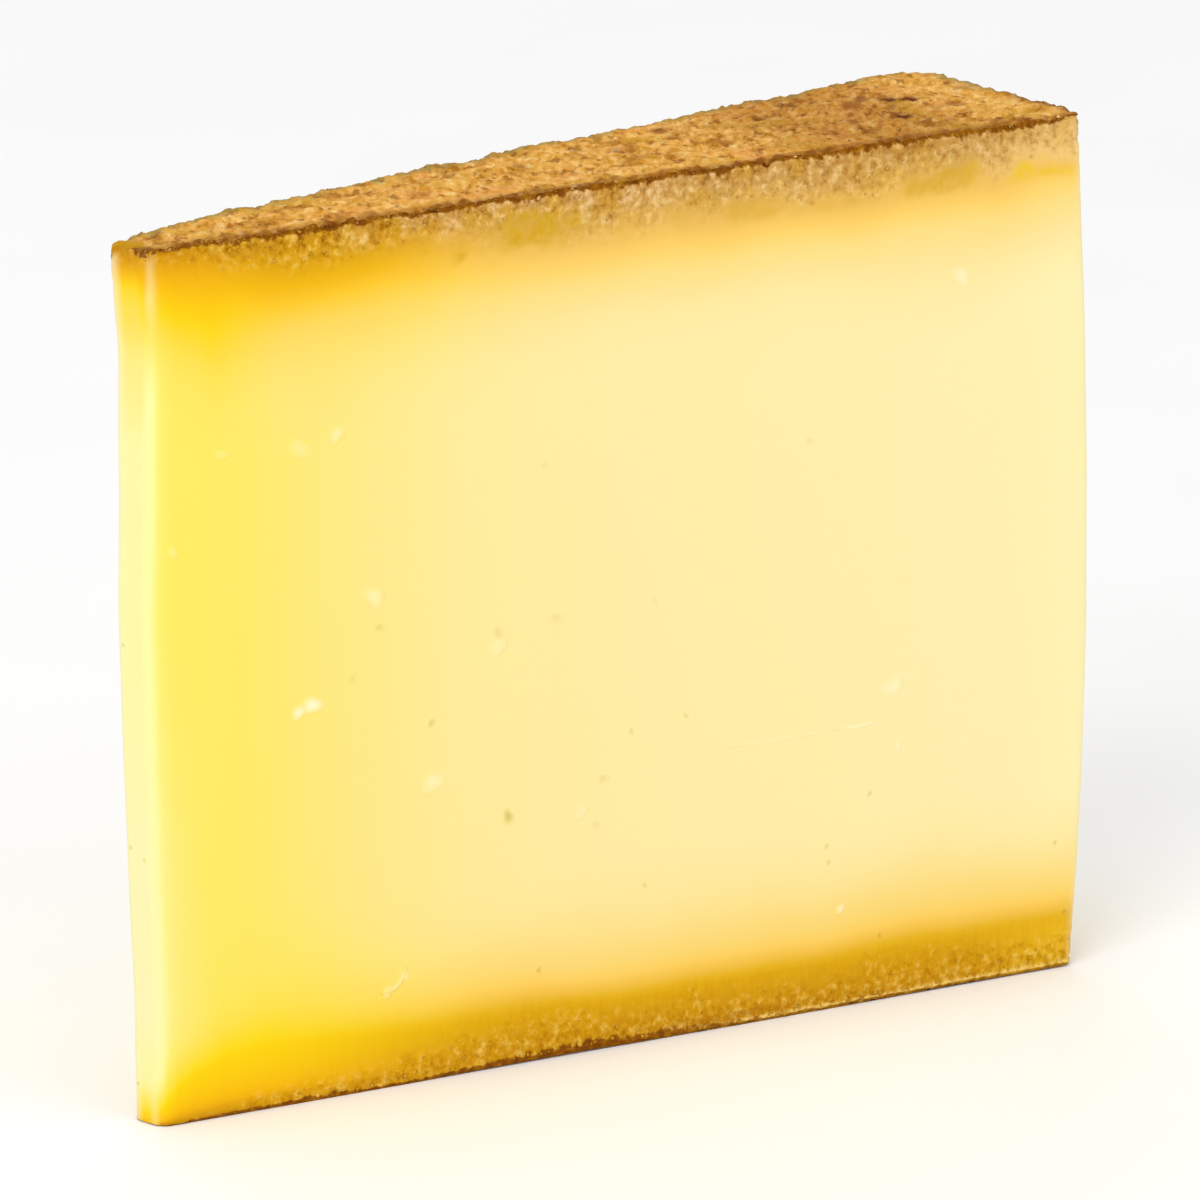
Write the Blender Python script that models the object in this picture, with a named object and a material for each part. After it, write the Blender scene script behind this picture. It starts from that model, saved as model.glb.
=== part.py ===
# A tall thin wedge of hard mountain cheese, standing on its rind.
# The wheel's two flat faces are its top and its foot, and carry a rough brown rind. All four upright
# faces are cuts through the paste: a long front, a long back, a narrow nose and a broad end.
# +X runs from the nose to the broad end, +Y from the front to the back, +Z up. Sizes are in metres.
import math

import bmesh
import bpy
from mathutils import Vector, noise

# The block
LENGTH = 0.1228
NOSE_HEIGHT = 0.1036
BROAD_HEIGHT = 0.1064
NOSE_TOP_WIDTH = 0.0062
NOSE_FOOT_WIDTH = 0.0046
BROAD_WIDTH = 0.0333
NOSE_SKEW = -0.0009
BROAD_SKEW = 0.0013

# How the cuts bow: the nose's offset along +X at shares of the height, then the other faces' swell
NOSE_BOW = (
    (0.0, 0.0002),
    (0.2, 0.0),
    (0.54, -0.0008),
    (0.87, 0.0004),
    (0.975, -0.0003),
    (1.0, 0.0),
)
BROAD_BOW = 0.0022
BROAD_BOW_PEAK = 0.43
BACK_SWELL = 0.0014
BACK_SWELL_LEAN = 0.6
FRONT_SWELL = 0.0003
CROWN = 0.0003

# Rounding of the four upright edges
NOSE_FRONT_RADIUS = 0.0013
NOSE_BACK_RADIUS = 0.0011
BROAD_FRONT_RADIUS = 0.0012
BROAD_BACK_RADIUS = 0.0040

# The rind: its thickness, the ragged lip where the cut leaves it, and the crumbly seam under the lip
RIND_THICKNESS = 0.0006
LIP = 0.00012
LIP_RAGGED = 0.00016
LIP_GRAIN = 0.0030
SEAM_FROM = 0.0010
SEAM_TO = 0.0022
SEAM_DEPTH = 0.00014
CRUMB_DEPTH = 0.00016
CRUMB_REACH = 0.0060
CRUMB_GRAIN = 0.0026
RIM_DROP = 0.00020

# Crags of the rind's face: broad dents and a finer crust on them
DENT_HEIGHT = 0.00026
DENT_GRAIN = 0.0075
CRUST_HEIGHT = 0.00022
CRUST_GRAIN = 0.0026
FOOT_PIT_START = 0.12
FOOT_PIT_DEPTH = 0.00045
FOOT_REST_RADIUS = 0.006
NOSE_WEAR = 0.00045
NOSE_WEAR_REACH = 0.014

# Pits in the rind: place along and across the top as shares from nose and front, radius, depth
PITS = (
    (0.892, 0.625, 0.0024, 0.00050),
    (0.861, 0.371, 0.0026, 0.00045),
    (0.859, 0.740, 0.0018, 0.00035),
    (0.928, 0.411, 0.0017, 0.00035),
    (0.603, 0.840, 0.0015, 0.00035),
)

# How finely the block is divided
CELLS_ALONG = 84
CELLS_ACROSS = 12
CROWDING_ALONG = 0.62
CROWDING_ACROSS = 0.55
ROWS_FROM_RIND = (0.0003, 0.0006, 0.0015, 0.0032, 0.0065, 0.0120, 0.0240)
ROWS_MIDWAY = (0.36, 0.50, 0.64)
SHARP_ANGLE = math.radians(50)

PASTE_COLOUR = (0.92, 0.72, 0.30, 1.0)
PASTE_ROUGHNESS = 0.42
RIND_COLOUR = (0.50, 0.26, 0.08, 1.0)
RIND_ROUGHNESS = 0.85

NAME = "cheese_wedge"


def mix(low, high, share):
    return low + (high - low) * share


def ease(share):
    share = min(max(share, 0.0), 1.0)
    return share * share * (3.0 - 2.0 * share)


def along_knots(knots, place):
    """Value at a place on a smooth line through a few (place, value) knots."""
    for (start, low), (end, high) in zip(knots, knots[1:]):
        if place <= end:
            return mix(low, high, ease((place - start) / (end - start)))
    return knots[-1][1]


def crowd(share, amount):
    """Crowds even divisions of 0 to 1 towards both ends."""
    return mix(share, 0.5 - 0.5 * math.cos(math.pi * share), amount)


def grain(point, size, layers=3):
    """Rough noise from about -1 to 1 with lumps of the given size."""
    return noise.fractal(Vector(point) / size, 1.0, 2.0, layers) * 1.6


def round_corner(from_end, from_side, radius):
    """Draws a point of a square corner in onto one of the given radius."""
    end_share = radius - from_end
    side_share = radius - from_side
    if end_share <= 0.0 or side_share <= 0.0:
        return from_end, from_side
    pull = max(end_share, side_share) / math.hypot(end_share, side_share)
    return radius - end_share * pull, radius - side_share * pull


def height_at(along):
    return mix(NOSE_HEIGHT, BROAD_HEIGHT, along)


def width_at(along, up):
    return mix(mix(NOSE_FOOT_WIDTH, NOSE_TOP_WIDTH, up), BROAD_WIDTH, along)


def plan_point(along, across, up):
    """Plan position of a share along the length and a share across from front to back."""
    width = width_at(along, up)
    from_nose = along * LENGTH
    from_broad = LENGTH - from_nose
    from_front = across * width
    from_back = width - from_front
    nose_radius = NOSE_FRONT_RADIUS if across < 0.5 else NOSE_BACK_RADIUS
    broad_radius = BROAD_FRONT_RADIUS if across < 0.5 else BROAD_BACK_RADIUS
    near_side = min(from_front, from_back)
    if from_nose < from_broad:
        from_nose, near_side = round_corner(from_nose, near_side, nose_radius)
    else:
        from_broad, near_side = round_corner(from_broad, near_side, broad_radius)
        from_nose = LENGTH - from_broad
    from_front = near_side if across < 0.5 else width - near_side
    return from_nose, from_front - width / 2


def block_point(along, across, up):
    """Where a point of the even block lies on the smooth cheese."""
    from_nose, y = plan_point(along, across, up)
    hump = 4.0 * up * (1.0 - up)
    lean = along**BACK_SWELL_LEAN
    back_hump = 4.0 * lean * (1.0 - lean) * across
    y += BACK_SWELL * back_hump - FRONT_SWELL * hump * math.sin(math.pi * along) * (1.0 - across)
    x = from_nose - LENGTH / 2 + across * mix(NOSE_SKEW, BROAD_SKEW, along)
    x += along_knots(NOSE_BOW, up) * (1.0 - along) ** 3
    above = up > BROAD_BOW_PEAK
    reach = (1.0 - BROAD_BOW_PEAK) if above else BROAD_BOW_PEAK
    x += BROAD_BOW * (1.0 - abs((up - BROAD_BOW_PEAK) / reach) ** 2) * along**3
    z = up * (height_at(along) + CROWN * back_hump)
    return Vector((x, y, z))


def rind_crags(point, along, across):
    """Height of the rind's face above or below its plane."""
    crags = DENT_HEIGHT * grain((point.x, point.y, 0.1), DENT_GRAIN, 2)
    crags += CRUST_HEIGHT * grain((point.x, point.y, 0.3), CRUST_GRAIN)
    for pit_along, pit_across, radius, depth in PITS:
        gap = math.hypot((along - pit_along) * LENGTH, (across - pit_across) * BROAD_WIDTH * along)
        crags -= depth * (1.0 - ease(gap / radius))
    return crags - NOSE_WEAR * (1.0 - ease(along * LENGTH / NOSE_WEAR_REACH))


def foot_pits(point):
    """Depth of the shallow pits in the foot, which stays flat between them."""
    rough = grain((point.x, point.y, 0.7), CRUST_GRAIN * 1.6)
    away = ease(math.hypot(point.x, point.y) / FOOT_REST_RADIUS - 1.0)
    return FOOT_PIT_DEPTH * ease((rough - FOOT_PIT_START) * 2.0) * away


def cut_relief(point, from_rind):
    """How far the cut face stands out at a distance from the nearer rind."""
    if from_rind <= RIND_THICKNESS * 1.01:
        return LIP + LIP_RAGGED * grain(point, LIP_GRAIN)
    crumbs = CRUMB_DEPTH * grain(point, CRUMB_GRAIN) * (1.0 - ease(from_rind / CRUMB_REACH))
    seam = SEAM_DEPTH if SEAM_FROM < from_rind < SEAM_TO else 0.0
    return crumbs - seam


def make_block():
    """An even closed block of unit size, divided as finely as the cheese needs."""
    bm = bmesh.new()
    bmesh.ops.create_grid(bm, x_segments=CELLS_ALONG, y_segments=CELLS_ACROSS, size=0.5)
    raised = bmesh.ops.extrude_face_region(bm, geom=bm.faces[:])
    top = [item for item in raised["geom"] if isinstance(item, bmesh.types.BMVert)]
    bmesh.ops.translate(bm, verts=top, vec=(0.0, 0.0, 1.0))
    mean_height = (NOSE_HEIGHT + BROAD_HEIGHT) / 2
    near_rind = [gap / mean_height for gap in ROWS_FROM_RIND]
    for level in [*near_rind, *ROWS_MIDWAY, *(1.0 - level for level in near_rind)]:
        bmesh.ops.bisect_plane(
            bm,
            geom=bm.verts[:] + bm.edges[:] + bm.faces[:],
            dist=1e-7,
            plane_co=(0.0, 0.0, level),
            plane_no=(0.0, 0.0, 1.0),
        )
    bmesh.ops.recalc_face_normals(bm, faces=bm.faces[:])
    return bm


def shape_wedge(bm):
    """Moves the even block's points onto the cheese, then gives each face its relief."""
    places = {}
    for vert in bm.verts:
        along = crowd(vert.co.x + 0.5, CROWDING_ALONG)
        across = crowd(vert.co.y + 0.5, CROWDING_ACROSS)
        places[vert] = (along, across, vert.co.z)
        vert.co = block_point(*places[vert])
    bm.normal_update()
    moved = {}
    for vert, (along, across, up) in places.items():
        place = vert.co.copy()
        height = height_at(along)
        on_cut = min(along, 1.0 - along, across, 1.0 - across) < 1e-4
        if on_cut:
            outward = Vector((vert.normal.x, vert.normal.y, 0.0)).normalized()
            place += outward * cut_relief(vert.co, min(up, 1.0 - up) * height)
        if up > 0.9999:
            place.z += rind_crags(vert.co, along, across) - (RIM_DROP if on_cut else 0.0)
        elif up < 0.0001 and not on_cut:
            place.z += foot_pits(vert.co)
        moved[vert] = place
    for vert, place in moved.items():
        vert.co = place


def centre_on_foot(bm):
    """Puts the origin under the middle of the cheese's box, at the foot."""
    low = Vector([min(vert.co[axis] for vert in bm.verts) for axis in range(3)])
    high = Vector([max(vert.co[axis] for vert in bm.verts) for axis in range(3)])
    shift = -(low + high) / 2
    bmesh.ops.translate(bm, verts=bm.verts[:], vec=(shift.x, shift.y, -low.z))


def paint_rind(bm):
    """Gives the rind's faces the second material and all else the first."""
    for face in bm.faces:
        middle = face.calc_center_median()
        top = max(vert.co.z for vert in face.verts)
        flat_face = abs(face.normal.z) > 0.7
        lip = middle.z < RIND_THICKNESS or top > height_at(middle.x / LENGTH + 0.5) - RIND_THICKNESS / 2
        face.material_index = 1 if flat_face or lip else 0


def make_material(name, colour, roughness):
    material = bpy.data.materials.new(name)
    material.use_nodes = True
    shader = material.node_tree.nodes["Principled BSDF"]
    shader.inputs["Base Color"].default_value = colour
    shader.inputs["Roughness"].default_value = roughness
    shader.inputs["Metallic"].default_value = 0.0
    return material


def make_wedge():
    bm = make_block()
    shape_wedge(bm)
    centre_on_foot(bm)
    bm.normal_update()
    paint_rind(bm)
    mesh = bpy.data.meshes.new(NAME)
    bm.to_mesh(mesh)
    bm.free()
    mesh.shade_smooth()
    mesh.set_sharp_from_angle(angle=SHARP_ANGLE)
    mesh.materials.append(make_material("paste", PASTE_COLOUR, PASTE_ROUGHNESS))
    mesh.materials.append(make_material("rind", RIND_COLOUR, RIND_ROUGHNESS))
    wedge = bpy.data.objects.new(NAME, mesh)
    bpy.context.scene.collection.objects.link(wedge)
    return wedge


for old in list(bpy.data.objects):
    bpy.data.objects.remove(old, do_unlink=True)

make_wedge()
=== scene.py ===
# Looks of the comte wedge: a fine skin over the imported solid, its rind, crumbly seams and small marks
import math

import bpy
import numpy as np
from mathutils import Matrix, Vector, noise


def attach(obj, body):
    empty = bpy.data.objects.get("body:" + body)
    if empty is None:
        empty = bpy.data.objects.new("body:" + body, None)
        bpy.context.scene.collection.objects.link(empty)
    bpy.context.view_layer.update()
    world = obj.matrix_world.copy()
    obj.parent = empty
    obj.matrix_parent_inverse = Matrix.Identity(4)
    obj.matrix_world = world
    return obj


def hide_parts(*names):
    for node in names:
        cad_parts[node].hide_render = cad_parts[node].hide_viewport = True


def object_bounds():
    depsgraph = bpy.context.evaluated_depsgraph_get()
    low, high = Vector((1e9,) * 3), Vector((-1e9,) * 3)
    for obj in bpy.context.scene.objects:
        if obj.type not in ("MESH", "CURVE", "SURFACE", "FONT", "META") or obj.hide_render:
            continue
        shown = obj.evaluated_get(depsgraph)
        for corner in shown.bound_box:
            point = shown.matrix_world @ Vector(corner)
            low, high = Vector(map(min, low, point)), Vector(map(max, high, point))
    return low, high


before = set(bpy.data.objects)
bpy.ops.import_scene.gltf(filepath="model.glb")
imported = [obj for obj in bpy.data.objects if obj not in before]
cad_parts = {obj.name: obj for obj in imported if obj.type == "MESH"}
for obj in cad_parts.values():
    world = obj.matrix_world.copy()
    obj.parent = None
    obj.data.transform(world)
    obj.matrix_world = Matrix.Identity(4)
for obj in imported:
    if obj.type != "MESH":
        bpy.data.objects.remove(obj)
cadLow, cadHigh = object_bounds()
wedgeNode = "cheese_wedge"
mm = 0.001
print("frame loaded, wedge is", [round(side / mm, 1) for side in cadHigh - cadLow], "mm")

# Form of the wedge in millimetres: x from nose to broad end, y from front to back, z up
wedge = {
    "length": 122.8,
    "noseHeight": 103.6,
    "broadHeight": 106.4,
    "noseTopWidth": 6.2,
    "noseFootWidth": 4.6,
    "broadWidth": 33.3,
    "noseSkew": -0.9,
    "broadSkew": 1.3,
    # share of the height, how far the nose stands in there
    "noseBow": [(0, 0.25), (0.15, 0.35), (0.3, -0.05), (0.54, -0.5), (0.75, 0.19), (0.87, 0.5),
                (0.95, 0.12), (0.975, -0.05), (1, 0)],
    "broadBow": 2.2,
    "broadBowPeak": 0.43,  # share of the height where the broad end stands out most
    "backSwell": 1.4,
    "backSwellLean": 0.6,
    "frontSwell": 0.3,
    "crown": 0.3,
    "noseRadius": (1.3, 1.1),  # of the front edge, of the back edge
    "broadRadius": (1.2, 4),
}

# Fineness of the skin, in cells of the plan and in millimetres from a rind
skin = {
    "cellsAlong": 324,
    "cellsAcross": 60,
    "crowdAlong": 0.2,
    "crowdAcross": 0.35,
    "rimRows": (0.1, 0.21, 0.34, 0.48, 0.64, 0.82, 1.04, 1.3, 1.6),
    "seamStep": 0.36,
    "seamEnd": 6.6,
    "growth": 1.24,
}

# Relief of the rind's face and of the cuts, in millimetres: height, then grain size
relief = {
    "dent": (0.16, 7.5),
    "crust": (0.15, 2.8),
    "sand": (0.2, 1.25),
    "rimDrop": 0.1,
    "rimReach": 0.5,
    "noseWear": (0.45, 14),  # depth at the back edge, reach from the nose
    "footPit": (0.45, 4.2),
    # from the nose, how far the foot's rim is off the ground there
    "footLift": [(0, 0.1), (12, 0.06), (20, 0), (30, 0.02), (42, 0.2), (54, 0.26), (66, 0.1), (78, 0),
                 (88, 0.03), (98, 0.14), (108, 0.22), (123, 0.2)],
    "liftReach": 3,
    "rimFollow": 6,  # rows nearer to a rind than this follow its wear and its lift
    "noseCorner": (0.8, 1.5),  # how far the nose's back corner has broken down, and its reach
    # shares along and across, radius, depth, darkness
    "pits": [(0.889, 0.636, 1.8, 0.18, 1.4), (0.906, 0.598, 1.8, 0.2, 1.6),
             (0.861, 0.371, 1.6, 0.12, 1.2), (0.86, 0.441, 1.3, 0.12, 1.1),
             (0.87, 0.702, 1.4, 0.12, 0.9), (0.93, 0.404, 1.6, 0.12, 0.6),
             (0.982, 0.633, 1.6, 0.1, 0.5), (0.637, 0.811, 1.4, 0.14, 0.8),
             (0.632, 0.638, 1.3, 0.12, 0.7), (0.678, 0.372, 1.4, 0.12, 0.6),
             (0.559, 0.613, 1.2, 0.12, 0.6), (0.804, 0.848, 1.9, 0.14, 0.7),
             (0.745, 0.717, 1.6, 0.12, 0.6), (0.453, 0.667, 1, 0.1, 0.6),
             (0.29, 0.448, 0.8, 0.08, 0.6)],
    # distance from the rind, how far the cut stands out there
    "topLip": [(0, 0), (0.1, 0.05), (0.21, -0.05), (0.34, -0.16), (0.48, -0.15), (0.64, -0.05),
               (0.82, 0.04), (1.04, 0.03), (1.6, 0)],
    "footLip": [(0, -0.16), (0.1, -0.14), (0.21, -0.08), (0.34, 0.06), (0.48, 0.13), (0.64, 0.1),
                (0.82, -0.02), (1.04, -0.08), (1.3, -0.05), (1.6, 0)],
    "footLipShare": [(0, 0.15), (12, 0.4), (64, 0.6), (80, 1)],  # from the nose, share of that lip
    "lipGrain": 1.5,
    "rimWander": (0.28, 1.4),
    "crumb": (0.1, 0.95),
    "knifeWave": (0.05, 9),
}

# Depths in millimetres from each rind, each at some distances from the nose
depths = {
    "topSeam": [(0, 1), (5, 2.1), (12, 3.7), (20, 4.2), (30, 4.1), (37, 4.2), (44, 5.2), (55, 5.8),
                (62, 5.2), (70, 5), (82, 5.7), (93, 6.1), (101, 4.6), (109, 5.9), (117, 5), (123, 4.8)],
    "footSeam": [(0, 0.1), (8, 0.6), (14, 1.7), (24, 2.9), (36, 3.9), (50, 4.9), (70, 5.4), (123, 4.8)],
    "topAmber": [(0, 6), (5, 8.3), (8, 9.4), (12, 8.9), (20, 8.8), (38, 8.2), (62, 7.4), (84, 7.9),
                 (106, 8), (122, 6.8)],
    "footAmber": [(0, 2.1), (1.2, 3.4), (2.6, 5), (5, 6.4), (9, 7.9), (14, 8.7), (40, 7.6)],
    "topLine": [(0, 0.3), (8, 0.6), (14, 0.75), (18.5, 0.95), (23, 0.95), (28, 0.55), (37, 0.7),
                (45, 0.8), (66, 0.75), (84, 0.65), (92, 0.9), (98, 0.65), (102, 0.65), (112, 0.85),
                (123, 0.45)],
    "footLine": [(0, 0.01), (2, 0.05), (4.5, 0.26), (12, 0.4), (19.5, 0.6), (27, 0.36), (34, 0.38),
                 (45, 0.75), (56, 1.05), (66, 1), (76, 0.6), (90, 0.45), (108, 0.26), (118, 0.36)],
}

# How the layers of the cut change, in millimetres. Most pairs are where a change starts and its reach
cut = {
    "sway": (16, 2),  # size of the long lumps that move a layer, and how many layers of noise
    "wobble": (4.5, 3, 40),  # the same for the short lumps, then a shift in the noise
    "rough": {"topSeam": 0.16, "footSeam": 0.2, "topAmber": 0.08, "footAmber": 0.06},  # share of the depth
    # clear olive-gold patches of the top seam: from the nose, under the rind, reach along, reach down,
    # strength
    "clearPatches": [(50.4, 4.5, 6.5, 2.2, 0.9), (44.5, 5.6, 5, 1.6, 0.95), (102.4, 5.8, 5.5, 1.3, 0.7),
                     (117, 6.7, 6.5, 1.3, 0.9), (77, 6, 7, 1.1, 0.4), (88, 6.8, 5, 0.9, 0.3)],
    "clearFromNose": (22, 12),
    "clearEnds": (6.6, 1.2),
    "clearBite": 2.2,  # how much thinner a clear patch makes the seam
    # the paler strips along the upright edges are painted highlights
    "edgeReach": 0.9,  # of the paler strips along the upright edges
    # paste low on the nose is paler, partly its own tone and partly painted light
    "lowNose": {"underTop": (48, 28), "overFoot": (6, 7), "fromNose": (0, 8)},  # paler there too
    # the pale strip by the foot is a painted highlight, where the foot's lip catches the light
    "ledgeHighlight": (0.55, 0.35),  # height of the middle of a pale ledge by the foot, and half its width
    "ledgeHighlightFromNose": (62, 20),
    "shade": (1.3, 0.9),  # and of a darker strip over it, which also has a middle and a half width along
    "shadeFromNose": (75, 18),
    # down the nose's own cut the upper amber runs out otherwise: share of its depth, what is added to it
    "noseFade": [(0.3, 0), (0.9, 0.5), (1.9, 0.05), (3.6, -0.8), (6, 0)],
}


def ease(share):
    share = np.clip(share, 0.0, 1.0)
    return share * share * (3.0 - 2.0 * share)


# Smooth step up from 0 to 1, and down from 1 to 0, over the reach from the start
def rises(value, start, reach):
    return ease((value - start) / reach)


def falls(value, start, reach):
    return 1.0 - rises(value, start, reach)


# Up to 1 at the middle, and 0 from half the width away
def hump(value, middle, half):
    return falls(abs(value - middle), 0, half)


# Smooth curve through pairs of place and value
def easedKnots(knots, place):
    place = np.asarray(place, float)
    value = np.full_like(place, knots[-1][1])
    for (start, low), (end, high) in zip(knots[::-1][1:], knots[::-1]):
        value = np.where(place <= end, low + (high - low) * ease((place - start) / (end - start)), value)
    return value


# Depth of one layer of the cut
def depthAt(name, fromNose):
    return easedKnots(depths[name], fromNose)


# Even shares crowded towards both ends
def crowd(share, amount):
    return share * (1.0 - amount) + amount * (0.5 - 0.5 * np.cos(np.pi * share))


# Rough noise of about -1 to 1 at each point, with lumps of the given size
def lumps(points, size, layers=2, shift=0.0):
    return 1.6 * np.array([
        noise.fractal(Vector((x / size + shift, y / size, z / size)), 1.0, 2.0, layers)
        for x, y, z in points.tolist()
    ])


# Rounds an upright edge: new distances from the end and from the side
def roundCorner(fromEnd, fromSide, radius):
    endShare = radius - fromEnd
    sideShare = radius - fromSide
    inCorner = (endShare > 0) & (sideShare > 0)
    pull = np.maximum(endShare, sideShare) / np.maximum(np.hypot(endShare, sideShare), 1e-9)
    return (np.where(inCorner, radius - endShare * pull, fromEnd),
            np.where(inCorner, radius - sideShare * pull, fromSide))


def heightAt(along):
    return wedge["noseHeight"] + (wedge["broadHeight"] - wedge["noseHeight"]) * along


# The smooth cheese: shares along, across and up give points and their distance from the plan's edge
def cheesePoints(along, across, up):
    w = wedge
    noseWidth = w["noseFootWidth"] + (w["noseTopWidth"] - w["noseFootWidth"]) * up
    width = noseWidth + (w["broadWidth"] - noseWidth) * along
    front = across < 0.5
    fromNose = along * w["length"]
    fromBroad = w["length"] - fromNose
    nearSide = np.where(front, across, 1.0 - across) * width
    noseEnd, noseSide = roundCorner(fromNose, nearSide, np.where(front, *w["noseRadius"]))
    broadEnd, broadSide = roundCorner(fromBroad, nearSide, np.where(front, *w["broadRadius"]))
    atNose = fromNose < fromBroad
    fromNose = np.where(atNose, noseEnd, w["length"] - broadEnd)
    nearSide = np.where(atNose, noseSide, broadSide)
    y = np.where(front, nearSide, width - nearSide) - width / 2
    fromEdge = np.minimum(np.minimum(fromNose, w["length"] - fromNose), nearSide)
    midHeight = 4.0 * up * (1.0 - up)
    lean = along ** w["backSwellLean"]
    backHump = 4.0 * lean * (1.0 - lean) * across
    y += w["backSwell"] * backHump
    y -= w["frontSwell"] * midHeight * np.sin(np.pi * along) * (1.0 - across)
    x = fromNose - w["length"] / 2 + across * (w["noseSkew"] + (w["broadSkew"] - w["noseSkew"]) * along)
    x += easedKnots(w["noseBow"], up) * (1.0 - along) ** 3
    peak = w["broadBowPeak"]
    reach = np.where(up > peak, 1.0 - peak, peak)
    x += w["broadBow"] * (1.0 - ((up - peak) / reach) ** 2) * along ** 3
    z = up * (heightAt(along) + w["crown"] * backHump)
    return np.stack([x, y, z], -1), fromEdge


# Height of the rind's face above its plane, and how dark its pits are
def rindCrags(points, along, across):
    crags = np.zeros(len(points))
    flat = points * (1.0, 1.0, 0.0)
    for shift, (name, layers) in enumerate((("dent", 2), ("crust", 3), ("sand", 2))):
        height, size = relief[name]
        crags += height * lumps(flat, size, layers, 20.0 * shift)
    darkness = np.zeros(len(points))
    for pitAlong, pitAcross, radius, depth, dark in relief["pits"]:
        aside = (across - pitAcross) * wedge["broadWidth"] * along
        gap = np.hypot((along - pitAlong) * wedge["length"], aside)
        inside = falls(gap, 0.0, radius)
        crags -= depth * inside
        darkness = np.maximum(darkness, dark * inside ** 0.5)
    wear, reach = relief["noseWear"]
    crags -= wear * (0.15 + 0.85 * across) * falls(along * wedge["length"], 0.0, reach)
    drop, reach = relief["noseCorner"]
    fromCorner = np.hypot(along * wedge["length"], (1.0 - across) * wedge["noseTopWidth"])
    return crags - drop * falls(fromCorner, 0.0, reach), darkness


# Distances of the skin's rows from the nearer rind, out to the middle of the wedge
def rowDistances():
    rows = list(skin["rimRows"])
    while rows[-1] < skin["seamEnd"]:
        rows.append(rows[-1] + skin["seamStep"])
    step = skin["seamStep"]
    while rows[-1] + step * skin["growth"] * 1.6 < wedge["noseHeight"] / 2:
        step *= skin["growth"]
        rows.append(rows[-1] + step)
    return np.array(rows)


# Shares of the plan's grid, the loop of its rim and its cells
def planGrid():
    m, n = skin["cellsAlong"], skin["cellsAcross"]
    along = crowd(np.linspace(0, 1, m + 1), skin["crowdAlong"])
    across = crowd(np.linspace(0, 1, n + 1), skin["crowdAcross"])
    gridAlong, gridAcross = [share.ravel() for share in np.meshgrid(along, across, indexing="ij")]
    index = np.arange((m + 1) * (n + 1)).reshape(m + 1, n + 1)
    loop = np.concatenate([index[:-1, 0], index[-1, :-1], index[:0:-1, -1], index[0, :0:-1]])
    cells = np.stack([index[:-1, :-1], index[1:, :-1], index[1:, 1:], index[:-1, 1:]], -1).reshape(-1, 4)
    return gridAlong, gridAcross, loop, cells


# Level outward directions of a loop of points
def outwardFrom(points):
    run = np.roll(points, -1, 0) - np.roll(points, 1, 0)
    outward = np.stack([run[:, 1], -run[:, 0], np.zeros(len(run))], -1)
    return outward / np.linalg.norm(outward, axis=1, keepdims=True)


# Depth of a layer that wanders with the noises
def layerDepth(name, fromNose, sway, wobble=0):
    rough = cut["rough"][name]
    return depthAt(name, fromNose) * (1 + rough * wobble + rough * sway)


# Painted highlights along the upright edges, and paler paste low down by the nose: partly its own tone,
# partly painted light
def edgeHighlightsAndPaleNose(fromNose, across, underTop, overFoot, atNose):
    inAmber = np.maximum(falls(underTop, 5.0, 7.0), falls(overFoot, 3.0, 4.0))
    fromTip = fromNose - across * wedge["noseTopWidth"]
    fromBroad = wedge["length"] - fromNose + across * wedge["broadWidth"]
    lower = rises(underTop, 2.5, 4.0)
    atFoot = ease(underTop / 30.0 - 2.0)
    # a painted highlight stripe just behind the rounded front edge, wider and nearer to it below the top
    # seam
    stripe = np.exp(-((fromTip - 0.78 + 0.33 * lower + 1.9 * atFoot) / (0.56 + 0.24 * lower)) ** 2)
    paler = (0.46 + 0.2 * lower - 0.26 * atFoot) * stripe * (across < 0.5) * inAmber
    reach = cut["edgeReach"]
    # painted highlights along the nose's back edge and along the broad end's edge
    paler = np.maximum(paler, rises(across, 0.6, 0.3) * np.exp(-(fromNose / reach) ** 2))
    paler = np.maximum(paler, 0.8 * np.exp(-(fromBroad / reach) ** 2))
    # paler paste low down by the nose, partly its own tone and partly painted light
    low = cut["lowNose"]
    lowNose = rises(underTop, *low["underTop"]) * rises(overFoot, *low["overFoot"])
    lowNose = lowNose * falls(fromNose, *low["fromNose"])
    return np.maximum(paler, (0.42 + 0.5 * atNose) * lowNose)


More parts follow.
